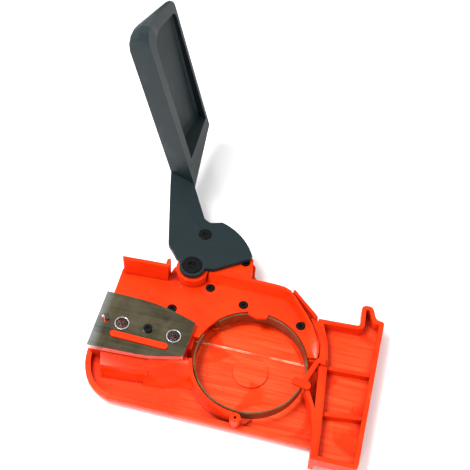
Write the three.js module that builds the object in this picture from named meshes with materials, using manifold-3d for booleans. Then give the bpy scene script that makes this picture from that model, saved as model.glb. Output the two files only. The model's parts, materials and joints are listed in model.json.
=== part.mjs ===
// Clutch cover of a chainsaw with its chain brake and front hand guard, inner side up.
// Millimetres, +Z up. The origin is on the clutch drum axis, on the flat outer face.
// +X runs to the rear of the saw, +Y to the handle side, where the guard stands.
import * as THREE from 'three';
import { mergeVertices } from 'three/addons/utils/BufferGeometryUtils.js';
import Module from 'manifold-3d';

const wasm = await Module();
wasm.setup();

// ---- Driving sizes ---------------------------------------------------------
// reach of the cover from the drum axis
const FRONT_REACH = 107;
const REAR_REACH = 80.8;
const TRAY_REACH = 45;
const REAR_LOWER_REACH = 57;

// levels above the outer face
const FLOOR_TOP = 3;
const CHAMFER_TOP = 5;
const LIP_TOP = 8;
const PAN_UNDERSIDE = 5;
const PAN_FLOOR_TOP = 8;
const PAN_RIB_TOP = 13;
const PAN_RIM_TOP = 16;
const SPINE_TOP = 16.5;
const SEAT_TOP = 14.2;
const PLATE_UNDERSIDE = 14.5;
const PLATE_TOP = 17;
const LAND_TOP = 19.1;
const BAR_PLATE_UNDERSIDE = 19.4;
const BAR_PLATE_TOP = 21;
const PILL_TOP = 22;
const DECK_TOP = 24;
const LEFT_WALL_TOP = 32.5;
const ARM_UNDERSIDE = 24.6;
const ARM_TOP = 28.2;

// walls
const SHELL_WALL = 3.6;
const BOX_WALL = 2.6;
const PAN_WALL = 3;
const BASE_INSET = 4.5;
const GAP = 0.3;

// brake band
const BAND_INNER_R = 36.2;
const BAND_THICKNESS = 1;
const BAND_BOTTOM = 8;
const BAND_TOP = 16;
const BAND_EYE_TOP = 13.8;
const DRUM_EDGE_R = BAND_INNER_R + 1.5;
const ANCHOR_ANGLE = 138;
const PULL_END_ANGLE = 160;

// guard pivot, lever and panel
const PIVOT = [-53.8, 56];
const GUARD_TRAVEL = 24;
const LEVER_ARM = 10;
const HUB_R = 7;
const HUB_BOTTOM = 12.9;
const CUP_R = 10.9;
const GUARD_LENGTH = 129.4;
const GUARD_LEAN = 0.235;
// how far the web has come up to the rim at the outer far corner
const WEB_TWIST = 0.66;
const NEAR_RIM_WIDTH = 8.8;
const FAR_RIM_WIDTH = 3.4;
const FOOT_RIM_WIDTHS = [16.5, 7];

// screws and studs
const FRONT_STUD = [-88, 4];
const REAR_STUD = [-52.6, 3.1];
const STUD_HOLE_R = 4.15;
const SLEEVE_R = 5;
const SLEEVE_BOTTOM = 3.3;
const SCREW_HEAD_R = 3;
const SCREW_SHANK_R = 1.5;
const PLATE_SCREWS = [[-38.9, 48.2], [-14.1, 40.7], [26.6, 34.4], [-59.9, 25.9]];
const DECK_SCREW = [-19.7, 70];
const BAR_SCREW = [-70.4, 4.1];
const SECTOR_SCREW = [-51.5, 82.9];

// cover bosses end here, under the seats that carry the plate's screws
const BOSS_TOP = 12.9;
// the first seat is slim, to leave room for the pull rod beside it
const seatRadius = (i) => (i ? 4.2 : 3.25);

// steps in round stretches
const CIRCLE_STEPS = 32;
const CORNER_STEPS = 4;
const MERGE_TOLERANCE = 1e-4;
const MIN_ROUNDING = 0.4;

const ORANGE = { color: 0xff5a14, roughness: 0.42, metalness: 0 };
const GUARD_GREY = { color: 0x2d3c46, roughness: 0.5, metalness: 0 };
const STEEL = { color: 0x9a9a94, roughness: 0.35, metalness: 1 };
const BRONZED_STEEL = { color: 0x5f5a46, roughness: 0.45, metalness: 0.9 };
const BLACK_STEEL = { color: 0x1c1c1e, roughness: 0.4, metalness: 0.8 };

// ---- Shape helpers ---------------------------------------------------------
const radians = (degrees) => (degrees * Math.PI) / 180;

function arc(x, y, radius, from, to, steps) {
  return Array.from({ length: steps + 1 }, (_, i) => {
    const angle = radians(from + ((to - from) * i) / steps);
    return [x + radius * Math.cos(angle), y + radius * Math.sin(angle)];
  });
}

const circle = (x, y, radius) => arc(x, y, radius, 0, 360, CIRCLE_STEPS).slice(1);

function smooth(points, steps) {
  const curve = new THREE.SplineCurve(points.map(([x, y]) => new THREE.Vector2(x, y)));
  return curve.getPoints(steps).map((p) => [p.x, p.y]);
}

// A closed outline; a corner written [x, y, radius] is rounded.
function outline(corners) {
  const count = corners.length;
  return corners.flatMap(([x, y, radius], i) => {
    if (!radius) {
      return [[x, y]];
    }
    const corner = new THREE.Vector2(x, y);
    const before = corners[(i + count - 1) % count];
    const after = corners[(i + 1) % count];
    const back = new THREE.Vector2(before[0] - x, before[1] - y);
    const ahead = new THREE.Vector2(after[0] - x, after[1] - y);
    const room = 0.48 * Math.min(back.length(), ahead.length());
    back.normalize();
    ahead.normalize();
    const half = Math.acos(back.dot(ahead)) / 2;
    const reach = Math.min(radius / Math.tan(half), room);
    const r = reach * Math.tan(half);
    const middle = back.clone().add(ahead).normalize();
    const centre = corner.clone().addScaledVector(middle, r / Math.sin(half));
    const start = corner.clone().addScaledVector(back, reach).sub(centre);
    const end = corner.clone().addScaledVector(ahead, reach).sub(centre);
    const sweep = Math.atan2(start.cross(end), start.dot(end));
    const from = start.angle();
    return Array.from({ length: CORNER_STEPS + 1 }, (_, k) => {
      const angle = from + (sweep * k) / CORNER_STEPS;
      return [centre.x + r * Math.cos(angle), centre.y + r * Math.sin(angle)];
    });
  });
}

// The corners moved inwards by a wall thickness (anticlockwise outlines), their rounding with them.
function inset(corners, distance) {
  const count = corners.length;
  return corners.map(([x, y, radius], i) => {
    const before = corners[(i + count - 1) % count];
    const after = corners[(i + 1) % count];
    const a = new THREE.Vector2(x - before[0], y - before[1]).normalize();
    const b = new THREE.Vector2(after[0] - x, after[1] - y).normalize();
    const normal = new THREE.Vector2(-a.y - b.y, a.x + b.x).normalize();
    const stretch = 1 / Math.max(0.5, Math.abs(normal.x * -a.y + normal.y * a.x));
    const turn = a.cross(b) > 0 ? -1 : 1;
    const rounding = radius && Math.max(radius + turn * distance, MIN_ROUNDING);
    return [x + normal.x * distance * stretch, y + normal.y * distance * stretch, rounding];
  });
}

// A strip of even width along an open line.
function strip(line, width) {
  const side = (sign) => line.map(([x, y], i) => {
    const before = line[Math.max(i - 1, 0)];
    const after = line[Math.min(i + 1, line.length - 1)];
    const along = new THREE.Vector2(after[0] - before[0], after[1] - before[1]).normalize();
    return [x - (along.y * sign * width) / 2, y + (along.x * sign * width) / 2];
  });
  return [...side(-1), ...side(1).reverse()];
}

function capsule(from, to, width) {
  const lean = (Math.atan2(to[1] - from[1], to[0] - from[0]) * 180) / Math.PI;
  const half = CIRCLE_STEPS / 2;
  return [
    ...arc(to[0], to[1], width / 2, lean - 90, lean + 90, half),
    ...arc(from[0], from[1], width / 2, lean + 90, lean + 270, half),
  ];
}

function solid(geometry) {
  geometry.deleteAttribute('normal');
  geometry.deleteAttribute('uv');
  const merged = mergeVertices(geometry, MERGE_TOLERANCE);
  return new wasm.Manifold(new wasm.Mesh({
    numProp: 3,
    vertProperties: Float32Array.from(merged.attributes.position.array),
    triVerts: Uint32Array.from(merged.index.array),
  }));
}

function prism(points, bottom, top) {
  const shape = new THREE.Shape(points.map(([x, y]) => new THREE.Vector2(x, y)));
  const geometry = new THREE.ExtrudeGeometry(shape, { depth: top - bottom, bevelEnabled: false });
  geometry.translate(0, 0, bottom);
  return solid(geometry);
}

const rod = ([x, y], radius, bottom, top) => prism(circle(x, y, radius), bottom, top);
const level = (points, z) => points.map(([x, y]) => [x, y, z]);

// A solid through rings of equal point count; flatten gives the plane its end caps are filled in.
function loft(rings, flatten = ([x, y]) => [x, y]) {
  const count = rings[0].length;
  const flat = rings[0].map((p) => new THREE.Vector2(...flatten(p)));
  const turned = THREE.ShapeUtils.isClockWise(flat);
  const cap = THREE.ShapeUtils.triangulateShape(flat, []).map(([a, b, c]) => {
    const area = flat[b].clone().sub(flat[a]).cross(flat[c].clone().sub(flat[a]));
    return area > 0 === !turned ? [a, b, c] : [a, c, b];
  });
  const last = (rings.length - 1) * count;
  const faces = cap.flatMap(([a, b, c]) => [a, c, b, last + a, last + b, last + c]);
  for (let ring = 0; ring < rings.length - 1; ring += 1) {
    for (let i = 0; i < count; i += 1) {
      const a = ring * count + i;
      const b = ring * count + ((i + 1) % count);
      faces.push(a, b, b + count, a, b + count, a + count);
    }
  }
  const points = rings.flat();
  let volume = 0;
  for (let i = 0; i < faces.length; i += 3) {
    const [a, b, c] = [0, 1, 2].map((k) => new THREE.Vector3(...points[faces[i + k]]));
    volume += a.dot(b.cross(c));
  }
  const geometry = new THREE.BufferGeometry();
  geometry.setAttribute('position', new THREE.Float32BufferAttribute(points.flat(), 3));
  geometry.setIndex(volume < 0 ? faces.reverse() : faces);
  return solid(geometry);
}

const join = (...bodies) => bodies.reduce((a, b) => a.add(b));
const cut = (body, ...tools) => tools.reduce((a, b) => a.subtract(b), body);

function mesh(name, geometry, look) {
  geometry.computeVertexNormals();
  const node = new THREE.Mesh(geometry, new THREE.MeshStandardMaterial(look));
  node.name = name;
  return node;
}

function piece(name, body, look) {
  const result = body.getMesh();
  const geometry = new THREE.BufferGeometry();
  geometry.setAttribute('position', new THREE.Float32BufferAttribute(result.vertProperties, 3));
  geometry.setIndex(Array.from(result.triVerts));
  return mesh(name, geometry, look);
}

// ---- Lines shared by the cover and the plate that closes it ----------------
const plateFront = FRONT_REACH - 6.2;

// handle-side edge of the cover, from the rear of the deck round to the front corner
const HANDLE_EDGE = [
  [36.5, 42.6], [19.4, 58.8], [12, 60.4, 4], [-3, 60.4, 6], [-12, 66, 4], [-13, 76, 3],
  [-26, 76, 6], [-43, 69.4, 8], [-60, 68, 8], [-67.4, 60, 5], [-69.6, 51, 2],
  [-plateFront - 0.4, 50.6, 2], [-plateFront - 0.6, 30],
];
// lower edge of the pad that carries the bar plate, front to rear
const PAD_EDGE = [[-FRONT_REACH + 2.4, -14.6], [-83, -13.9], [-64, -12.7], [-44.2, -7.4]];
// seam between that pad and the brake plate, rear to front
const SEAM_Y = 8.6;
const SEAM = [[-41.6, SEAM_Y], [-60, SEAM_Y], [-66, 10.9], [-plateFront - 1.5, 10.9]];
// where the plate's round edge over the drum meets that seam, degrees
const SEAM_ANGLE = 180 - (Math.asin(SEAM_Y / DRUM_EDGE_R) * 180) / Math.PI;
// spine between drum bay and rear compartment, handle side first
const SPINE_LEFT = [
  [32.1, 42.6], [39.8, 27.8], [42.7, 17.7], [45.1, -0.8], [46.5, -16.8], [48.9, -37.7],
  [50.4, -REAR_LOWER_REACH],
];
const SPINE_RIGHT = [
  [53.7, -REAR_LOWER_REACH], [53.2, -36.6], [51.2, -15.6], [47.9, 12.9], [45.8, 24.1],
  [41.3, 33.8], [37.1, 41.9],
];

// pull gear under the brake plate
const LEVER_START = -GUARD_TRAVEL / 2;
const LEVER_END = [
  PIVOT[0] + LEVER_ARM * Math.cos(radians(LEVER_START)),
  PIVOT[1] + LEVER_ARM * Math.sin(radians(LEVER_START)),
];
const ROD_END = [LEVER_END[0], 36.5];
const PULL_PIN = [-37.2, 34.5];
const BLOCK_FACE = 29.3;
const SPRING_SEAT = 9.7;
const SPRING_Z = 8.9;
const SPRING_R = 3.7;
const SPRING_TURNS = 6;
const WIRE_R = 0.7;
const ANCHOR_R = BAND_INNER_R + BAND_THICKNESS + 3;
const ANCHOR = [
  ANCHOR_R * Math.cos(radians(ANCHOR_ANGLE)),
  ANCHOR_R * Math.sin(radians(ANCHOR_ANGLE)),
];

// raised rib of the cover that stands in the long slot of the bar plate
const PILL_DROP = SLEEVE_R + 4.1;
const PILL_LINE = [[-91.2, FRONT_STUD[1] - PILL_DROP], [-56.4, REAR_STUD[1] - PILL_DROP]];
const PILL_WIDTH = 4.4;

// ---- Clutch cover ----------------------------------------------------------
function coverShell() {
  const nose = smooth([
    [-FRONT_REACH, -12.6], [-FRONT_REACH + 0.6, -19.6], [-FRONT_REACH + 2.6, -27],
    [-FRONT_REACH + 6.4, -34.4], [-FRONT_REACH + 11.4, -39.6], [-FRONT_REACH + 17, -43],
    [-FRONT_REACH + 23.4, -TRAY_REACH],
  ], 12);
  const tray = [
    [51.4, -TRAY_REACH - 0.6], ...SPINE_RIGHT.slice(2, 6), ...HANDLE_EDGE, ...nose,
  ];
  const shell = loft([
    level(outline(inset(tray, BASE_INSET)), 0),
    level(outline(tray), CHAMFER_TOP),
    level(outline(tray), LIP_TOP),
  ]);
  return cut(shell, prism(outline(inset(tray, SHELL_WALL)), FLOOR_TOP, LIP_TOP + 1));
}

function brakeBox() {
  const edge = [
    ...PAD_EDGE, [-41.8, 3], [-41.4, 9],
    ...arc(0, 0, DRUM_EDGE_R + 1, 166, 17, 24),
    [43.8, 11.8], ...SPINE_RIGHT.slice(4, 6), ...HANDLE_EDGE,
  ];
  const inner = outline(inset(edge, BOX_WALL));
  const walls = cut(prism(outline(edge), 1, SEAT_TOP), prism(inner, FLOOR_TOP, SEAT_TOP + 1));
  const bandWindow = [
    [-50, 9.2], [-BAND_INNER_R + 1.2, 9.2], [ANCHOR[0] + 8.9, ANCHOR[1] + 2.6],
    [ANCHOR[0] + 2.9, ANCHOR[1] + 11.1], [-50, 34],
  ];
  return cut(walls, prism(bandWindow, FLOOR_TOP, SEAT_TOP + 1));
}

function barPad() {
  const pad = outline([...PAD_EDGE, ...SEAM]);
  const land = [
    [-FRONT_REACH + 4.6, -12.4], [-83, -11.8], [-64, -10.8], [-46, -6.2], [-44.4, 8.6],
    [-60, 8.6], [-66, 10.9], [-FRONT_REACH + 4.6, 10.9],
  ];
  const bosses = [FRONT_STUD, REAR_STUD].map((stud) => rod(stud, SLEEVE_R + 2, 1, SEAT_TOP));
  return join(
    prism(pad, SEAT_TOP - 0.2, PLATE_TOP),
    prism(land, PLATE_TOP - 0.5, LAND_TOP),
    prism(capsule(...PILL_LINE, PILL_WIDTH), PLATE_TOP, PILL_TOP),
    rod(BAR_SCREW, 4.4, 1, SEAT_TOP),
    ...bosses,
  );
}

// box and sloping land in front of the bar pad, over the tray floor
function frontLands() {
  const box = loft([
    level([[-97, -12], [-93.5, -29.1], [-63, -26.8], [-63, -11]], 1),
    level([[-97, -12], [-93, -28.6], [-63, -26], [-63, -11]], FLOOR_TOP + 1),
    level([[-97.9, -12], [-94.2, -25.7], [-63, -23.2], [-63, -11]], 15),
  ]);
  const slope = loft([
    level([
      [-65, -11], [-65, -28.5], [-51, -28], [-42, -24.5], [-31.5, -22.8], [-36, -15.5], [-41, -7],
    ], 1),
    level([
      [-65, -11], [-65, -26.5], [-51, -25], [-43.5, -21.8], [-31.8, -22.3], [-36, -15], [-41, -7],
    ], 6),
    level([
      [-65, -11], [-65, -22], [-60.5, -21.2], [-47.8, -12.9], [-34.6, -19], [-37.3, -13], [-41, -7],
    ], 16),
  ]);
  return join(box, slope);
}

function drumBay() {
  const guide = [
    ...arc(0, 0, DRUM_EDGE_R + 0.4, 191, 266, 20),
    ...arc(0, 0, DRUM_EDGE_R + 2.8, 266, 191, 20),
  ];
  const post = [-0.6, -41.5];
  const crease = [...arc(0, 0, BAND_INNER_R - 1, 22, 158, 24)];
  return join(
    prism(guide, 1, SPINE_TOP),
    rod([post[0], post[1] + 1.4], 2, 1, CHAMFER_TOP + 1),
    cut(rod(post, 3.5, CHAMFER_TOP, SPINE_TOP), rod(post, 1, SPINE_TOP - 9, SPINE_TOP + 1)),
    prism(strip([[2.4, -40.4], [8.1, -33.6]], 3), 1, 5.4),
    prism(crease, 1, FLOOR_TOP + 0.7),
    rod([0.9, -1], 11.5, 1, FLOOR_TOP + 1.2),
  );
}

// round ear over the band, its strut to the spine and the curved wall below it
function earAndStrut() {
  const overBand = BAND_TOP + 0.4;
  const earTop = overBand + 2.2;
  const wall = strip(smooth([[38.9, -8.6], [42, -15], [46.6, -25], [50.6, -42]], 12), 2.4);
  return join(
    prism(capsule([31.6, -7.4], [39, -8.8], 5.2), overBand, earTop),
    prism(strip([[46, 14], [42.4, 9.8], [36.8, -6.4]], 3.2), overBand, earTop),
    prism([[44.4, 15], [47.4, 13.5], [48, 8.5], [44.4, 9]], 10, earTop),
    prism(wall, 1, SPINE_TOP),
    rod([39.7, -9.4], 1.9, 1, earTop),
  );
}

function rearCompartment() {
  const rear = REAR_REACH;
  const edge = [
    [52, -REAR_LOWER_REACH], [rear, -REAR_LOWER_REACH, 3], [rear, 52.4, 2], [rear - 5.4, 52.2, 4],
    [rear - 9.4, 62.6, 4], [rear - 16.8, 61.8, 3], [rear - 15.4, 45.2, 2], [36.8, 43.8, 1],
    [43.2, 27], [46, 12.9], [48.9, -15.6], [51, -37],
  ];
  const shell = cut(
    loft([
      level(outline(inset(edge, 2.4)), PAN_UNDERSIDE),
      level(outline(edge), PAN_UNDERSIDE + 2.4),
      level(outline(edge), PAN_RIM_TOP),
    ]),
    prism(outline(inset(edge, PAN_WALL)), PAN_FLOOR_TOP, PAN_RIM_TOP + 1),
  );
  const ribs = [
    [[47, 10], [rear - 1, 11.6]],
    [[51, -23.4], [rear - 1, -20.2]],
  ].map((line) => prism(strip(line, 2.6), PAN_FLOOR_TOP - 1, PAN_RIB_TOP));
  const spine = prism(outline([...SPINE_LEFT, ...SPINE_RIGHT]), 1, SPINE_TOP);
  return join(shell, spine, ...ribs);
}

function clutchCover() {
  const boss = (centre, radius, top) => rod(centre, radius, 1, top);
  const outerLip = [[17.4, 60], [36.4, 42.8], [34.9, 41.4], [16.4, 58.2]];
  // from the rear stud's boss to the end of the spring
  const [seatFoot, seatFront, seatRear] = [REAR_STUD[1] - SLEEVE_R / 2, -49.2, -39.6];
  const springSeat = [
    [seatFront, seatFoot], [seatRear, seatFoot], [seatRear, SPRING_SEAT], [seatFront, SPRING_SEAT],
  ];
  const body = join(
    coverShell(), brakeBox(), barPad(), frontLands(), drumBay(), earAndStrut(), rearCompartment(),
    prism(outerLip, LIP_TOP, 20),
    prism(springSeat, 1, SEAT_TOP),
    prism([[-52.2, 23], [-49.6, 23], [-49.6, 46], [-52.2, 46]], 1, PAN_FLOOR_TOP),
    boss(ANCHOR, 3.2, BAND_BOTTOM - 0.4),
    boss(PIVOT, 5.6, 10.2),
    ...[...PLATE_SCREWS, DECK_SCREW].map((s, i) => boss(s, seatRadius(i) - 0.1, BOSS_TOP)),
  );
  const studBores = [FRONT_STUD, REAR_STUD].flatMap((stud) => [
    rod(stud, STUD_HOLE_R + 0.2, -1, LAND_TOP + 1),
    rod(stud, SLEEVE_R + GAP, SLEEVE_BOTTOM - GAP, LAND_TOP + 1),
  ]);
  const pilots = [...PLATE_SCREWS, DECK_SCREW].flatMap((s, i) => [
    rod(s, SCREW_SHANK_R + GAP, 4.4, SEAT_TOP),
    rod(s, seatRadius(i) + GAP, BOSS_TOP, SEAT_TOP + 1),
  ]);
  return piece('clutch_cover', cut(
    body, ...studBores, ...pilots,
    rod(BAR_SCREW, SCREW_SHANK_R + GAP, 8, LAND_TOP + 1),
    rod(PIVOT, 2.5 + GAP, 2.4, 11),
    rod(ANCHOR, 1.9 + GAP, 4, BAND_BOTTOM),
  ), ORANGE);
}

// ---- Brake plate -----------------------------------------------------------
// outer edge of the slanted wall, from the spine to the deck
const WALL_OUTER = [
  [42, 13], [42.1, 16.5], [40.6, 23.3], [34.2, 34.5], [29.6, 40.2], [23.1, 47.5], [19.1, 51.9],
  [15, 55.9], [10.6, 57.8], [4.1, 58.2],
];

function plateSheet() {
  const edge = outline([
    ...arc(0, 0, DRUM_EDGE_R, SEAM_ANGLE, 19, 36), ...WALL_OUTER, [-12.6, 58.2], [-12.6, 64.2, 2],
    [-14.2, 75, 2], [-26.2, 75, 5], [-43, 67.4], [-50, 67.6, 3], [-59, 66.8, 4],
    [-66, 59.6, 4], [-68.3, 50.2, 1.5], [-plateFront + 0.2, 49.4, 2], [-plateFront, 30],
    [-plateFront - 1.2, 11.2], [-65.9, 11.2], [-59.9, SEAM_Y + GAP],
    [SEAM[0][0], SEAM_Y + GAP],
  ]);
  const tab = [[-10.4, 0.8], [-9.2, -3.5], [-3, -5.5], [3, -4.1], [4.8, 0.8]].map(
    ([x, y]) => [x, DRUM_EDGE_R + y, 1.5],
  );
  const land = [
    [-plateFront - 0.2, 11.2], [-65.9, 11.2], [-59.9, 8.9], [-44.6, 8.9], [-44, 15], [-62, 19.6],
    [-80, 22.2], [-plateFront - 0.2, 22.8],
  ];
  return join(
    prism(edge, PLATE_UNDERSIDE, PLATE_TOP),
    prism(outline(tab), BAND_TOP + GAP, PLATE_TOP + 0.8),
    prism(land, PLATE_TOP - 0.5, LAND_TOP),
  );
}

// slanted right wall, sinking towards the spine, and the flat deck at its wide end
function wallAndDeck() {
  // stations along the wall from the spine to the front: foot, brow, height
  const stations = [
    [[40.4, 12.8], [41.2, 12.9], PLATE_TOP + 0.3],
    [[38.6, 15.5], [41, 16.2], 18.2],
    [[34.8, 21.5], [39, 22.8], 20.2],
    [[30.1, 31.4], [32.9, 33.5], 21.8],
    [[26.8, 37.7], [28.3, 39.1], 22.6],
    [[20.8, 45.4], [21.9, 46.4], 23.4],
    [[16.7, 49.5], [17.8, 50.7], 23.8],
    [[13, 51.8], [13.8, 54.2], DECK_TOP],
    [[9, 52.6], [9.6, 55.8], DECK_TOP],
    [[4.1, 52.6], [4.1, 56], DECK_TOP],
    [[-42.1, 52.6], [-42.1, 56], DECK_TOP],
  ];
  const outer = [...WALL_OUTER, [-42.1, 58.2]];
  const wall = loft(stations.map(([foot, brow, top], i) => [
    [...foot, PLATE_UNDERSIDE], [...foot, PLATE_TOP], [...brow, top], [...outer[i], top],
    [...outer[i], PLATE_UNDERSIDE],
  ]), ([, y, z]) => [y, z]);
  const deck = outline([
    [-42.1, 57], [-13.4, 57], [-13.4, 64, 2], [-14.9, 74.2, 2], [-26, 74.4, 5], [-42.1, 66.6, 2],
  ]);
  return join(wall, prism(deck, PLATE_UNDERSIDE, DECK_TOP));
}

// the deck is hollow from below
function deckHollow() {
  const room = [[-40, 58.6], [-16, 59.4], [-16, 63], [-17.4, 71.6], [-26, 71.8], [-39.8, 65.4]];
  return prism(room, PLATE_UNDERSIDE - 1, DECK_TOP - 2.2);
}

// tall front wall with the return that stops the guard arm
function frontWall() {
  const x0 = -plateFront + 0.4;
  const run = loft([
    level([
      [x0 + 2, 44.8], [-70.4, 46.2], [-68.4, 46.3], [-68.4, 50], [x0 + 0.3, 49],
    ], PLATE_TOP - 1),
    level([
      [x0 + 1, 46], [-70.4, 47.4], [-68.4, 47.5], [-68.4, 49.9], [x0 + 0.3, 48.4],
    ], LEFT_WALL_TOP),
  ]);
  const turned = [[-70.4, 47.6], [-68.3, 47.6], [-68.3, 54.8], [-70.4, 53.6]];
  const end = prism(turned, PLATE_UNDERSIDE, LEFT_WALL_TOP);
  return join(run, end);
}

function brakePlate() {
  const seats = PLATE_SCREWS.map((s, i) => rod(s, seatRadius(i), BOSS_TOP + GAP, PLATE_TOP - 0.5));
  const body = join(
    cut(join(plateSheet(), wallAndDeck(), frontWall()), deckHollow()),
    rod(PIVOT, CUP_R, PLATE_UNDERSIDE, ARM_UNDERSIDE - 0.4),
    rod(DECK_SCREW, seatRadius(PLATE_SCREWS.length), BOSS_TOP + GAP, DECK_TOP - 1),
    ...seats,
  );
  const sunk = [...PLATE_SCREWS.map((s) => [s, PLATE_TOP]), [DECK_SCREW, DECK_TOP]];
  const cups = sunk.flatMap(([s, top]) => [
    rod(s, SCREW_HEAD_R + GAP, top - 2, top + 9),
    rod(s, SCREW_SHANK_R + GAP, 12, top),
  ]);
  const sleeves = [FRONT_STUD, REAR_STUD].map((stud) => rod(stud, SLEEVE_R + GAP, 12, DECK_TOP));
  const well = rod(PIVOT, HUB_R + 0.5, 12, ARM_UNDERSIDE);
  return piece('brake_plate', cut(body, ...cups, ...sleeves, well), ORANGE);
}

// ---- Brake band and pull gear ----------------------------------------------
function brakeBand() {
  const outer = BAND_INNER_R + BAND_THICKNESS;
  const hoop = [
    ...arc(0, 0, outer, PULL_END_ANGLE, 360 + ANCHOR_ANGLE, 96),
    ...arc(0, 0, BAND_INNER_R, 360 + ANCHOR_ANGLE, PULL_END_ANGLE, 96),
  ];
  const clear = prism(circle(ANCHOR[0], ANCHOR[1], 1.9 + GAP), BAND_BOTTOM - 1, BAND_TOP);
  const eye = cut(rod(ANCHOR, 3.4, BAND_BOTTOM, BAND_EYE_TOP), clear);
  return piece('brake_band', join(prism(hoop, BAND_BOTTOM, BAND_TOP), eye), BRONZED_STEEL);
}

function bandTail() {
  const start = new THREE.Vector2(...arc(0, 0, BAND_INNER_R + 1.7, 158.3, 180, 1)[0]);
  const bend = [start.x - 2, start.y + 5];
  const strap = strip([[start.x, start.y], bend, [PULL_PIN[0], PULL_PIN[1] - 2.2]], 1);
  const eye = cut(rod(PULL_PIN, 3, BAND_BOTTOM, BAND_EYE_TOP - 0.8), rod(PULL_PIN, 2, 7, 15));
  return piece('band_tail', join(prism(strap, BAND_BOTTOM, BAND_EYE_TOP), eye), BRONZED_STEEL);
}

function pullBlock() {
  const [left, right] = [-49, -33.6];
  const body = join(
    prism([[left, BLOCK_FACE], [right, BLOCK_FACE], [right, 38], [-38, 40], [left, 40]], 4, 7.6),
    prism([[left, BLOCK_FACE], [-39.6, BLOCK_FACE], [-39.6, 31.6], [left, 31.6]], 4, 13.4),
  );
  return piece('pull_block', cut(body, rod(PULL_PIN, 2, 4.6, 9), rod(ROD_END, 2, 4.6, 9)), STEEL);
}

function pullRod() {
  const shank = strip([LEVER_END, ROD_END], 2.6);
  const eyes = [LEVER_END, ROD_END].map((end) => rod(end, 3, 8, 10.2));
  const holes = [LEVER_END, ROD_END].map((end) => rod(end, 2, 7, 11));
  return piece('pull_rod', cut(join(prism(shank, 8, 10.2), ...eyes), ...holes), STEEL);
}

function brakeLever() {
  const body = join(
    rod(PIVOT, 8.4, 10.5, 12.6),
    prism(strip([PIVOT, LEVER_END], 5), 10.5, 12.6),
    rod(LEVER_END, 3, 10.5, 12.6),
  );
  const notch = [[-62.6, 54.2], [-58.8, 54.2], [-58.8, 57.8], [-62.6, 57.8]];
  return piece('brake_lever', cut(
    body, rod(PIVOT, 4 + GAP, 10, 13), rod(LEVER_END, 2, 10, 13), prism(notch, 10, 13),
  ), STEEL);
}

// compression spring along Y between the cover seat and the pull block
class Coil extends THREE.Curve {
  getPoint(t) {
    const from = SPRING_SEAT + WIRE_R + GAP;
    const to = BLOCK_FACE - WIRE_R - GAP;
    const angle = 2 * Math.PI * SPRING_TURNS * t;
    return new THREE.Vector3(
      LEVER_END[0] + SPRING_R * Math.cos(angle),
      from + (to - from) * t,
      SPRING_Z + SPRING_R * Math.sin(angle),
    );
  }
}

function brakeSpring() {
  const section = arc(0, 0, WIRE_R, 0, 360, 8).slice(1);
  const wire = new THREE.Shape(section.map(([x, y]) => new THREE.Vector2(x, y)));
  const along = { extrudePath: new Coil(), steps: 96, bevelEnabled: false };
  return piece('brake_spring', solid(new THREE.ExtrudeGeometry(wire, along)), STEEL);
}

// ---- Hand guard ------------------------------------------------------------
// corners of the panel at the top of the arm: web foot, near rim, far rim, web top
const WEB_FOOT = [-88.8, 130.1];
const NEAR_RIM = [-70.1, 123.8];
const FAR_RIM = [-74.6, 184.5];
const WEB_TOP = [-82.2, 187.1];

// a point of the panel: across the width, up its length, and from web (0) to rim (1)
function panelPoint(across, up, depth) {
  const slope = Math.hypot(1, GUARD_LEAN);
  const width = Math.hypot(WEB_TOP[0] - WEB_FOOT[0], WEB_TOP[1] - WEB_FOOT[1]);
  const part = across / width;
  const taper = WEB_TWIST * part * THREE.MathUtils.clamp(up / GUARD_LENGTH, 0, 1);
  const t = depth + (1 - depth) * taper;
  const between = (a, b) => new THREE.Vector2(...a).lerp(new THREE.Vector2(...b), part);
  const spot = between(WEB_FOOT, WEB_TOP).lerp(between(NEAR_RIM, FAR_RIM), t);
  return [spot.x - (GUARD_LEAN * up) / slope, spot.y, ARM_TOP + up / slope];
}

function guardPanel() {
  const width = Math.hypot(WEB_TOP[0] - WEB_FOOT[0], WEB_TOP[1] - WEB_FOOT[1]);
  const foot = (ARM_UNDERSIDE - ARM_TOP) * Math.hypot(1, GUARD_LEAN);
  const top = GUARD_LENGTH;
  // an outline from near to far edge: its sides, feet, end heights and end roundings
  const face = ([near, far], [nearFoot, farFoot], [nearEnd, farEnd], [nearR, farR], depth) => (
    outline([
      [near, nearFoot], [near, nearEnd, nearR], [far, farEnd, farR], [far, farFoot],
    ]).map(([across, up]) => panelPoint(across, up, depth))
  );
  const sides = [0, width];
  const outside = loft([
    face(sides, [foot, foot], [top + 2.8, top - 12.5], [12, 12], 0),
    face(sides, [foot, foot], [top + 11.4, top - 11.8], [11, 12], 0.5),
    face(sides, [foot, foot], [top + 15.8, top - 12.2], [9, 11], 1),
  ], ([, y, z]) => [y, z]);
  const nearRim = NEAR_RIM_WIDTH;
  const farRim = width - FAR_RIM_WIDTH;
  const [nearFoot, farFoot] = FOOT_RIM_WIDTHS;
  const floorFeet = [nearFoot + 2.6, farFoot + 2.6];
  const filletFeet = [nearFoot + 0.8, farFoot + 0.8];
  const inside = loft([
    face([nearRim + 2.2, farRim - 2.6], floorFeet, [top - 9.8, top - 20.4], [8, 8], 0.145),
    face([nearRim + 0.6, farRim - 0.8], filletFeet, [top - 6, top - 18.4], [8, 8], 0.3),
    face([nearRim, farRim], FOOT_RIM_WIDTHS, [top + 2.4, top - 20.2], [9, 9], 1.02),
  ], ([, y, z]) => [y, z]);
  return cut(outside, inside);
}

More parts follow.
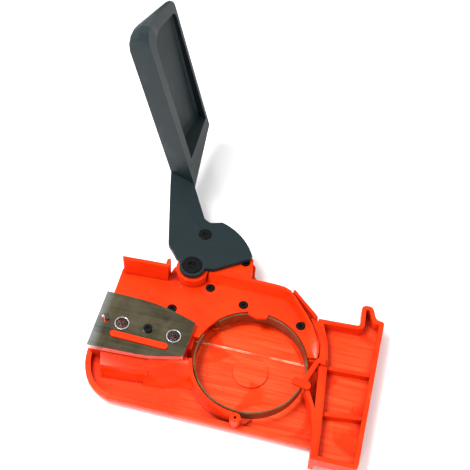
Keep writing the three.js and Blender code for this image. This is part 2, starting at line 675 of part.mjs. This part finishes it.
function handGuard() {
  const sector = arc(PIVOT[0], PIVOT[1], 41.6, 25, 74, 10);
  const arm = outline([
    WEB_FOOT, [-86, 117.6], [-74.1, 69, 8], [-68.7, 63.1], [-65.9, 59.5], [-61.4, 57],
    [-46.5, 55.4], [-39.1, 56.5, 3], [-17.2, 71.2, 1.5], ...sector,
    [-50.4, 93.4, 4], [-55.1, 95.7, 4], NEAR_RIM, FAR_RIM, WEB_TOP,
  ]);
  const key = [[-62.2, 54.5], [-59.1, 54.5], [-59.1, 57.5], [-62.2, 57.5]];
  const body = join(
    prism(arm, ARM_UNDERSIDE, ARM_TOP),
    rod(PIVOT, 8.7, ARM_UNDERSIDE, ARM_TOP),
    rod(PIVOT, HUB_R, HUB_BOTTOM, ARM_TOP - 1),
    prism(key.map(([x, y]) => [Math.max(x, PIVOT[0] - HUB_R), y]), 10.8, HUB_BOTTOM + 1),
    rod(SECTOR_SCREW, 6.6, 20, ARM_TOP - 1),
    guardPanel(),
  );
  return piece('hand_guard', cut(
    body, rod(PIVOT, 6.9, 26, ARM_TOP + 1), rod(PIVOT, 4 + GAP, 10, ARM_TOP),
    rod(SECTOR_SCREW, 4.2 + GAP, 26.4, ARM_TOP + 1), rod(SECTOR_SCREW, 2.2, 19, ARM_TOP),
  ), GUARD_GREY);
}

// ---- Bar plate -------------------------------------------------------------
function barPlate() {
  const front = -FRONT_REACH + 1.3;
  const lower = smooth([[front, -16.9], [-83.4, -16], [-64, -14.7], [-43, -9.7]], 12);
  const upper = smooth([[-41.3, 16.7], [-61, 22.5], [-79.9, 25.1], [front + 1.1, 25.7]], 12);
  const sheet = prism([...lower, [-41.3, 13.3], ...upper], BAR_PLATE_UNDERSIDE, BAR_PLATE_TOP);
  const turnedEdge = [...lower, ...lower.map(([x, y]) => [x - 0.1, y + 1.6]).reverse()];
  const turned = prism(turnedEdge, 16.4, BAR_PLATE_TOP);
  const tongueSlot = strip([[front + 4.2, 8.4], [front + 7.6, 2.6]], 4);
  const holes = [
    ...[FRONT_STUD, REAR_STUD].map((stud) => rod(stud, SLEEVE_R + GAP, 18, 22)),
    rod(BAR_SCREW, SCREW_SHANK_R + GAP, 18, 22),
    rod(BAR_SCREW, SCREW_HEAD_R + GAP, BAR_PLATE_TOP - 0.8, 22),
    prism(capsule(...PILL_LINE, PILL_WIDTH + 2 * GAP), 18, 22),
    prism(tongueSlot, 18, 22),
  ];
  const tongue = loft([
    level(strip([[front + 4, 9], [front + 7.2, 3.4]], 2.2), BAR_PLATE_UNDERSIDE),
    level(strip([[front + 5.6, 8.2], [front + 8, 4]], 1.8), BAR_PLATE_TOP + 1.4),
  ]);
  return piece('bar_plate', join(cut(join(sheet, turned), ...holes), tongue), BRONZED_STEEL);
}

function sleeve(name, stud) {
  const tube = rod(stud, SLEEVE_R, SLEEVE_BOTTOM, BAR_PLATE_TOP + 0.5);
  return piece(name, cut(tube, rod(stud, STUD_HOLE_R, 0, BAR_PLATE_TOP + 1)), STEEL);
}

// ---- Screws, pins and bush -------------------------------------------------
// head radius, shank radius and head height; a hexagon socket is sunk in the head
const SMALL_SCREW = [SCREW_HEAD_R, SCREW_SHANK_R, 2];

function screw(name, centre, seat, tip, [headR, shankR, headHeight] = SMALL_SCREW) {
  const hexagon = arc(centre[0], centre[1], headR * 0.45, 0, 300, 5);
  const socket = prism(hexagon, seat + headHeight * 0.35, seat + headHeight + 1);
  const body = join(rod(centre, headR, seat, seat + headHeight), rod(centre, shankR, tip, seat + 1));
  return piece(name, cut(body, socket), BLACK_STEEL);
}

const pin = (name, centre, radius, bottom, top) => piece(name, rod(centre, radius, bottom, top), STEEL);

function pivotBush() {
  return piece('pivot_bush', cut(rod(PIVOT, 4, 10.5, 25.7), rod(PIVOT, 2.8, 10, 27)), STEEL);
}

// ---- Assembly --------------------------------------------------------------
const part = new THREE.Group();
part.name = 'clutch_cover_with_brake';
part.add(
  clutchCover(),
  brakePlate(),
  brakeBand(),
  bandTail(),
  pullBlock(),
  pullRod(),
  brakeLever(),
  brakeSpring(),
  handGuard(),
  barPlate(),
  sleeve('stud_sleeve_front', FRONT_STUD),
  sleeve('stud_sleeve_rear', REAR_STUD),
  pivotBush(),
  screw('guard_pivot_screw', PIVOT, 26.3, 3, [6.5, 2.5, 2.3]),
  screw('sector_screw', SECTOR_SCREW, 26.7, 20.4, [4.2, 1.8, 1.8]),
  screw('deck_screw', DECK_SCREW, DECK_TOP - 1.7, 5),
  screw('bar_plate_screw', BAR_SCREW, BAR_PLATE_TOP - 0.5, 9),
  ...PLATE_SCREWS.map((centre, i) => screw(`plate_screw_${i + 1}`, centre, PLATE_TOP - 1.7, 5)),
  pin('lever_pin', LEVER_END, 1.7, 8.2, 12.4),
  pin('rod_pin', ROD_END, 1.4, 4.9, 11),
  pin('pull_pin', PULL_PIN, 1.7, 4.9, 13.4),
  pin('band_anchor_pin', ANCHOR, 1.9, 4.3, 13.6),
);

export default part;
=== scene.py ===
"""Looks of a chainsaw's clutch cover with its chain brake and hand guard, lying inner side up."""
import json
import math

import bmesh
import bpy
import numpy as np
from mathutils import Matrix, Vector


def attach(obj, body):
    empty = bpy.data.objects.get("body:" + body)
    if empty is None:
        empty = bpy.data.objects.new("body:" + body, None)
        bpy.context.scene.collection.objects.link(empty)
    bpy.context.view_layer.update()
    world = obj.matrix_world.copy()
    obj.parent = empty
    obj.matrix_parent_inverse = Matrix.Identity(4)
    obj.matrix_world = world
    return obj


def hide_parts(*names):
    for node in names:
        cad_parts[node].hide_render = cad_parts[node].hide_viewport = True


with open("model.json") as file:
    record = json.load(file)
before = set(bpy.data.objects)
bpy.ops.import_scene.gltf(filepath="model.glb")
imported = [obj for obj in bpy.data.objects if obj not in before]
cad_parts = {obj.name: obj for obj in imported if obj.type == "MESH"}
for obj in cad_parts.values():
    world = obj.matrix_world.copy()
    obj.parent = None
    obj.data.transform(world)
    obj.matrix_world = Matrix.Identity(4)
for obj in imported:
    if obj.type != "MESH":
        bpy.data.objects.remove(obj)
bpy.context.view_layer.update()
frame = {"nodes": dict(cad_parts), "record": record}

# ---- Camera -----------------------------------------------------------------
# A long lens looking down on the open side from the lower edge, turned a little clockwise.
CAMERA_AT = Vector((0.0437, -0.3496, 0.6466))
LOOKS_AT = Vector((-0.03497, 0.10775, 0.0))
ROLL = math.radians(4.289)
LENS_MM = 84.26

lens = bpy.data.cameras.new("camera")
lens.lens = LENS_MM
lens.sensor_width = 36.0
lens.clip_start = 0.02
lens.clip_end = 20.0
camera = bpy.data.objects.new("camera", lens)
bpy.context.collection.objects.link(camera)
turn = (LOOKS_AT - CAMERA_AT).to_track_quat("-Z", "Y").to_matrix().to_4x4()
camera.matrix_world = Matrix.Translation(CAMERA_AT) @ turn @ Matrix.Rotation(ROLL, 4, "Z")
bpy.context.scene.camera = camera

# ---- Floor and light --------------------------------------------------------
# A pale sweep under the part, one soft lamp overhead, two weaker fills and a small lamp low in
# front that picks out the slopes facing it.
FLOOR_HALF = 6.0
FLOOR_LEVEL = -0.0004
CORNERS = ((-1, -1), (1, -1), (1, 1), (-1, 1))
floor_mesh = bpy.data.meshes.new("floor")
floor_mesh.from_pydata([(x * FLOOR_HALF, y * FLOOR_HALF, FLOOR_LEVEL) for x, y in CORNERS],
                       [], [(0, 1, 2, 3)])
floor = bpy.data.objects.new("floor", floor_mesh)
bpy.context.collection.objects.link(floor)
floor_look = bpy.data.materials.new("pale_floor")
floor_look.use_nodes = True
floor_shader = floor_look.node_tree.nodes["Principled BSDF"]
floor_shader.inputs["Base Color"].default_value = (0.97, 0.97, 0.97, 1)
floor_shader.inputs["Roughness"].default_value = 0.9
floor_mesh.materials.append(floor_look)


MIDDLE = Vector((0, 0.03, 0.02))


def soft_lamp(name, at, size, watts):
    """A square area lamp that faces the middle of the cover."""
    light = bpy.data.lights.new(name, "AREA")
    light.size = size
    light.energy = watts
    lamp = bpy.data.objects.new(name, light)
    lamp.location = at
    lamp.rotation_euler = (MIDDLE - Vector(at)).to_track_quat("-Z", "Y").to_euler()
    bpy.context.collection.objects.link(lamp)


soft_lamp("key", (-0.50, -0.06, 1.0), 0.45, 15.5)
soft_lamp("fill", (0.95, -0.15, 0.75), 0.9, 4.5)
soft_lamp("back", (-0.9, 0.95, 0.4), 0.6, 3.0)
soft_lamp("glint", (-0.10, -1.05, 0.72), 0.12, 3.0)
sky = bpy.data.worlds.new("studio")
sky.use_nodes = True
sky.node_tree.nodes["Background"].inputs["Color"].default_value = (1, 1, 1, 1)
sky.node_tree.nodes["Background"].inputs["Strength"].default_value = 0.6
bpy.context.scene.world = sky
bpy.context.scene.view_settings.view_transform = "Standard"

# ---- Clutch cover and brake plate -------------------------------------------
# Both are injection moulded in the same orange plastic, with rounded edges, flow marks from
# the gate, duller patches on the floors and fine scuffs. The plate is screwed to the cover.


MERGE_DISTANCE = 2e-6
FLAT_ANGLE = math.radians(0.6)


def rounded_copy(node, width, segments=2, sharp=28.0):
    """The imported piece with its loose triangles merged, flat areas joined and every edge
    sharper than the angle rounded by a bevel of that width."""
    mesh = frame["nodes"][node].data.copy()
    mesh.materials.clear()
    body = bmesh.new()
    body.from_mesh(mesh)
    bmesh.ops.remove_doubles(body, verts=body.verts, dist=MERGE_DISTANCE)
    bmesh.ops.dissolve_limit(
        body, angle_limit=FLAT_ANGLE, verts=body.verts, edges=body.edges,
    )
    body.to_mesh(mesh)
    body.free()
    mesh.shade_smooth()
    mesh.set_sharp_from_angle(angle=math.radians(sharp))
    piece = bpy.data.objects.new(node + "_moulded", mesh)
    bpy.context.collection.objects.link(piece)
    edge = piece.modifiers.new("edge", "BEVEL")
    edge.width = width
    edge.segments = segments
    edge.limit_method = "ANGLE"
    edge.angle_limit = math.radians(sharp)
    edge.harden_normals = True
    edge.use_clamp_overlap = True
    return piece


def stand_in(piece, node, look):
    """The piece takes the node's place, moves with its body and wears the look."""
    bodies = frame["record"]["behaviour"]["bodies"]
    body = next(name for name, nodes in bodies.items() if node in nodes)
    piece.data.materials.append(look)
    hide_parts(node)
    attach(piece, body)


class Look:
    """A node material under construction: each call adds one node and links its inputs."""

    def __init__(self, name):
        self.material = bpy.data.materials.new(name)
        self.material.use_nodes = True
        self.tree = self.material.node_tree
        self.shader = self.tree.nodes["Principled BSDF"]
        self.place = self.add("ShaderNodeTexCoord").outputs["Object"]

    def add(self, kind, **settings):
        node = self.tree.nodes.new(kind)
        for key, value in settings.items():
            setattr(node, key, value)
        return node

    def link(self, source, target):
        self.tree.links.new(source, target)

    def noise(self, scale, detail=4.0, stretch=(1, 1, 1), rough=0.55, twist=0.0):
        """Fractal noise from 0 to 1, that many blotches to a metre, drawn out along an axis."""
        spread = self.add("ShaderNodeMapping")
        spread.inputs["Scale"].default_value = stretch
        self.link(self.place, spread.inputs["Vector"])
        node = self.add("ShaderNodeTexNoise")
        node.inputs["Scale"].default_value = scale
        node.inputs["Detail"].default_value = detail
        node.inputs["Roughness"].default_value = rough
        node.inputs["Distortion"].default_value = twist
        self.link(spread.outputs["Vector"], node.inputs["Vector"])
        return node.outputs["Fac"]

    def between(self, value, low, high, to_low=0.0, to_high=1.0):
        """The value carried from one range to another, and held at its ends."""
        node = self.add("ShaderNodeMapRange", clamp=True)
        ends = {"From Min": low, "From Max": high, "To Min": to_low, "To Max": to_high}
        for socket, number in ends.items():
            node.inputs[socket].default_value = number
        self.link(value, node.inputs["Value"])
        return node.outputs["Result"]

    def maths(self, operation, first, second=0.0):
        node = self.add("ShaderNodeMath", operation=operation)
        for socket, value in zip(node.inputs, (first, second)):
            if isinstance(value, (int, float)):
                socket.default_value = value
            else:
                self.link(value, socket)
        return node.outputs["Value"]

    def times(self, first, second):
        return self.maths("MULTIPLY", first, second)

    def plus(self, first, second):
        return self.maths("ADD", first, second)

    def mix(self, share, first, second):
        """A colour between two, each a colour or a socket."""
        node = self.add("ShaderNodeMix", data_type="RGBA")
        self.link(share, node.inputs[0])
        for socket, value in zip((node.inputs[6], node.inputs[7]), (first, second)):
            if isinstance(value, tuple):
                socket.default_value = (*value, 1)
            else:
                self.link(value, socket)
        return node.outputs[2]

    def axis(self, letter):
        """One coordinate in the part's frame, in metres: X to the rear, Y to the handle, Z up."""
        split = self.add("ShaderNodeSeparateXYZ")
        self.link(self.place, split.inputs["Vector"])
        return split.outputs[letter]

    def bump(self, value, strength, distance, under=None):
        node = self.add("ShaderNodeBump")
        node.inputs["Strength"].default_value = strength
        node.inputs["Distance"].default_value = distance
        self.link(value, node.inputs["Height"])
        if under is not None:
            self.link(under, node.inputs["Normal"])
        return node.outputs["Normal"]

    def wear(self, colour, roughness, normal, **settings):
        """The finished material; settings are shader inputs, with _ for each space."""
        for name, number in settings.items():
            self.shader.inputs[name.replace("_", " ")].default_value = number
        self.link(colour, self.shader.inputs["Base Color"])
        self.link(roughness, self.shader.inputs["Roughness"])
        self.link(normal, self.shader.inputs["Normal"])
        return self.material


# where the cover's low floors end, in metres: their level, and the rear end of the tray
FLOORS_BELOW = 0.0082
TRAY_REAR = -0.032
# the step across the drum bay: how far it lies to the handle side, and its level
STEP_ACROSS_BAY = 0.0132
STEP_LEVEL = 0.0042
# how far the painted shade reaches from the foot of a wall
CREASE_SHADE_REACH = 0.006


def orange_plastic():
    """Deep orange, redder and lighter by slow flow marks. The low floors are paler and streaked
    along the part by wiped oil, with deep clean blotches; a painted highlight runs along the
    edge of the step across the drum bay. Painted shade darkens the creases at the foot of the
    walls, and gloss varies with the same marks."""
    look = Look("orange_plastic")
    x, y, z = (look.axis(letter) for letter in "XYZ")
    flow = look.noise(16, 5, (1.0, 2.6, 1.0), 0.6, 0.8)
    blotches = look.noise(34, 3, (1, 1, 0.4), 0.5, 0.4)
    streaks = look.noise(420, 3, (0.05, 1.0, 1.0), 0.6)
    scuffs = look.noise(900, 2, (1.0, 0.06, 1.0), 0.5)
    grain = look.noise(1500, 2)

    deep, bright = (0.70, 0.024, 0.0012), (0.82, 0.039, 0.0020)
    base = look.mix(look.between(flow, 0.35, 0.68), deep, bright)

    behind_tray = look.between(x, TRAY_REAR - 0.010, TRAY_REAR, 0.30, 1.0)
    low = look.times(look.between(z, FLOORS_BELOW + 0.0018, FLOORS_BELOW), behind_tray)
    oily = look.maths("SUBTRACT", 1.0, look.between(blotches, 0.56, 0.62))
    wiped = look.times(low, look.between(streaks, 0.40, 0.66, 0.22, 0.80))
    wiped = look.times(wiped, oily)
    base = look.mix(wiped, base, (0.92, 0.090, 0.022))

    # painted highlight: a pale broken line along the edge of the step across the drum bay
    from_step = look.maths("ABSOLUTE", look.maths("SUBTRACT", y, STEP_ACROSS_BAY))
    edge = look.between(from_step, 0.0007, 0.0003)
    edge = look.times(edge, look.between(z, STEP_LEVEL + 0.0004, STEP_LEVEL))
    broken_highlight = look.between(look.noise(60, 2, (1, 0.1, 0.1)), 0.40, 0.62, 0.1, 0.9)
    base = look.mix(look.times(edge, broken_highlight), base, (1.0, 0.62, 0.42))

    scratched = look.between(scuffs, 0.71, 0.79, 0.0, 0.30)
    base = look.mix(scratched, base, (1.0, 0.17, 0.06))

    # painted shade: occlusion darkens the creases and the foot of the walls to dark red
    creases = look.add("ShaderNodeAmbientOcclusion", samples=8, only_local=True)
    creases.inputs["Distance"].default_value = CREASE_SHADE_REACH
    painted_crease_shade = look.between(creases.outputs["AO"], 0.25, 0.85, 0.85, 0.0)
    base = look.mix(painted_crease_shade, base, (0.30, 0.011, 0.002))

    roughness = look.between(flow, 0.3, 0.7, 0.24, 0.36)
    roughness = look.plus(roughness, look.between(scuffs, 0.6, 0.8, 0.0, 0.15))
    roughness = look.plus(roughness, look.between(wiped, 0.0, 0.6, 0.0, 0.12))
    normal = look.bump(grain, 0.10, 0.0002, look.bump(flow, 0.25, 0.0012))
    return look.wear(base, roughness, normal, Specular_IOR_Level=0.16, Coat_Weight=0.05,
                     Coat_Roughness=0.12)


ORANGE = orange_plastic()
CASTING_ROUND = 0.0005
for node in ("clutch_cover", "brake_plate"):
    stand_in(rounded_copy(node, CASTING_ROUND), node, ORANGE)

# ---- Brake band, its tail and the bar plate ---------------------------------
# Hardened spring strip, rolled and left with a bronze-grey heat colour; the bar plate is
# stamped from the same strip and carries a painted blue-grey reflection towards its front
# end and a painted highlight on its cut sides.


# the bar plate carries a painted reflection from here to its front end, in metres
REFLECTION_FROM = -0.094
FRONT_END = -0.107


def bronzed_steel(name, dark, light, highlight_below):
    """Rolled strip: brown-grey metal with long fine rolling lines, mottled by heat and oil, with
    a painted blue-grey reflection towards the front end and in patches, and a painted highlight
    on the cut sides under its top face."""
    look = Look(name)
    rolled = look.noise(700, 3, (0.03, 1.0, 1.0), 0.5)
    mottle = look.noise(45, 5, (1, 1, 1), 0.6, 0.6)
    # noise that breaks the painted reflection into patches
    rubbed = look.noise(22, 3, (0.6, 1.0, 1.0), 0.5, 0.5)
    base = look.mix(look.between(mottle, 0.3, 0.7), dark, light)
    # painted reflection: blue-grey towards the bar plate's front end, in patches elsewhere
    painted_reflection = look.between(look.axis("X"), REFLECTION_FROM, FRONT_END, 0.0, 0.55)
    painted_reflection = look.plus(painted_reflection, look.between(rubbed, 0.5, 0.70, -0.1, 0.3))
    base = look.mix(look.between(painted_reflection, 0.1, 0.7), base, (0.36, 0.42, 0.44))
    # painted highlight: pale metal on the cut sides below the top face
    painted_edge_highlight = look.between(look.axis("Z"), highlight_below, highlight_below - 0.0004)
    base = look.mix(painted_edge_highlight, base, (0.72, 0.76, 0.78))
    roughness = look.between(mottle, 0.3, 0.7, 0.26, 0.42)
    roughness = look.plus(roughness, look.between(rolled, 0.3, 0.7, -0.05, 0.06))
    return look.wear(base, roughness, look.bump(rolled, 0.12, 0.0002), Metallic=0.92)


PLATE_STEEL = bronzed_steel("plate_steel", (0.068, 0.059, 0.034), (0.105, 0.092, 0.056), 0.0208)
BAND_STEEL = bronzed_steel("band_steel", (0.130, 0.078, 0.032), (0.250, 0.168, 0.080), 0.0)
STRIP_ROUND = 0.00025
stand_in(rounded_copy("bar_plate", STRIP_ROUND), "bar_plate", PLATE_STEEL)
for node in ("brake_band", "band_tail"):
    stand_in(rounded_copy(node, STRIP_ROUND), node, BAND_STEEL)

# ---- Hand guard -------------------------------------------------------------
# One moulding of dark blue-grey nylon: flat arm with its sector, and the tall hollow panel.
# The surface has a fine spark-eroded grain, and rubbed patches that are shinier and paler.


def guard_plastic():
    """Dark blue-grey with a slow lighter cloud, a fine even grain in the bump and rubbed
    patches."""
    look = Look("guard_plastic")
    cloud = look.noise(14, 4, (1, 1, 1), 0.55, 0.3)
    rub = look.noise(60, 4, (1.0, 1.0, 0.3), 0.6, 0.5)
    grain = look.noise(2200, 2)
    dark, light = (0.0040, 0.0110, 0.0138), (0.0070, 0.0158, 0.0188)
    base = look.mix(look.between(cloud, 0.3, 0.7), dark, light)
    base = look.mix(look.between(rub, 0.60, 0.74, 0.0, 0.30), base, (0.034, 0.046, 0.052))
    roughness = look.between(cloud, 0.3, 0.7, 0.50, 0.60)
    roughness = look.plus(roughness, look.between(rub, 0.6, 0.75, 0.0, -0.08))
    return look.wear(base, roughness, look.bump(grain, 0.22, 0.00025), Specular_IOR_Level=0.22)


GUARD = guard_plastic()
GUARD_ROUND = 0.0009
stand_in(rounded_copy("hand_guard", GUARD_ROUND, 3, 24.0), "hand_guard", GUARD)

# ---- Plain steel pieces -----------------------------------------------------
# Lever, rod, block, pins, bush, sleeves and spring: zinc-grey turned or stamped steel.


def plain_steel():
    """Zinc-grey metal with faint tool lines and oil stains."""
    look = Look("plain_steel")
    lines = look.noise(1200, 3, (0.05, 1.0, 1.0), 0.5)
    stain = look.noise(120, 4, (1, 1, 1), 0.6)
    dull, clean = (0.50, 0.50, 0.48), (0.68, 0.68, 0.66)
    base = look.mix(look.between(stain, 0.35, 0.7), dull, clean)
    roughness = look.between(stain, 0.3, 0.7, 0.22, 0.36)
    return look.wear(base, roughness, look.bump(lines, 0.1, 0.0001), Metallic=1.0)


STEEL = plain_steel()
STEEL_ROUND = 0.0002
for node in (
    "pull_block", "pull_rod", "brake_lever", "brake_spring", "stud_sleeve_front",
    "stud_sleeve_rear", "pivot_bush", "lever_pin", "rod_pin", "pull_pin", "band_anchor_pin",
):
    stand_in(rounded_copy(node, STEEL_ROUND), node, STEEL)

# ---- Screws -----------------------------------------------------------------
# Black oxidised screws with hexagon sockets; worn a little in small rubbed spots.


def black_steel():
    """Black oxide, nearly neutral, with small rubbed spots where bare metal shows."""
    look = Look("black_steel")
    rub = look.noise(500, 4, (1, 1, 1), 0.6)
    oxide, bare = (0.005, 0.005, 0.006), (0.06, 0.06, 0.064)
    base = look.mix(look.between(rub, 0.60, 0.74, 0.0, 0.4), oxide, bare)
    roughness = look.between(rub, 0.3, 0.7, 0.42, 0.26)
    normal = look.bump(look.noise(1800, 2), 0.12, 0.0001)
    return look.wear(base, roughness, normal, Metallic=0.7)


BLACK = black_steel()
SCREW_ROUND = 0.00025
for node in (
    "guard_pivot_screw", "sector_screw", "deck_screw", "bar_plate_screw", "plate_screw_1",
    "plate_screw_2", "plate_screw_3", "plate_screw_4",
):
    stand_in(rounded_copy(node, SCREW_ROUND), node, BLACK)
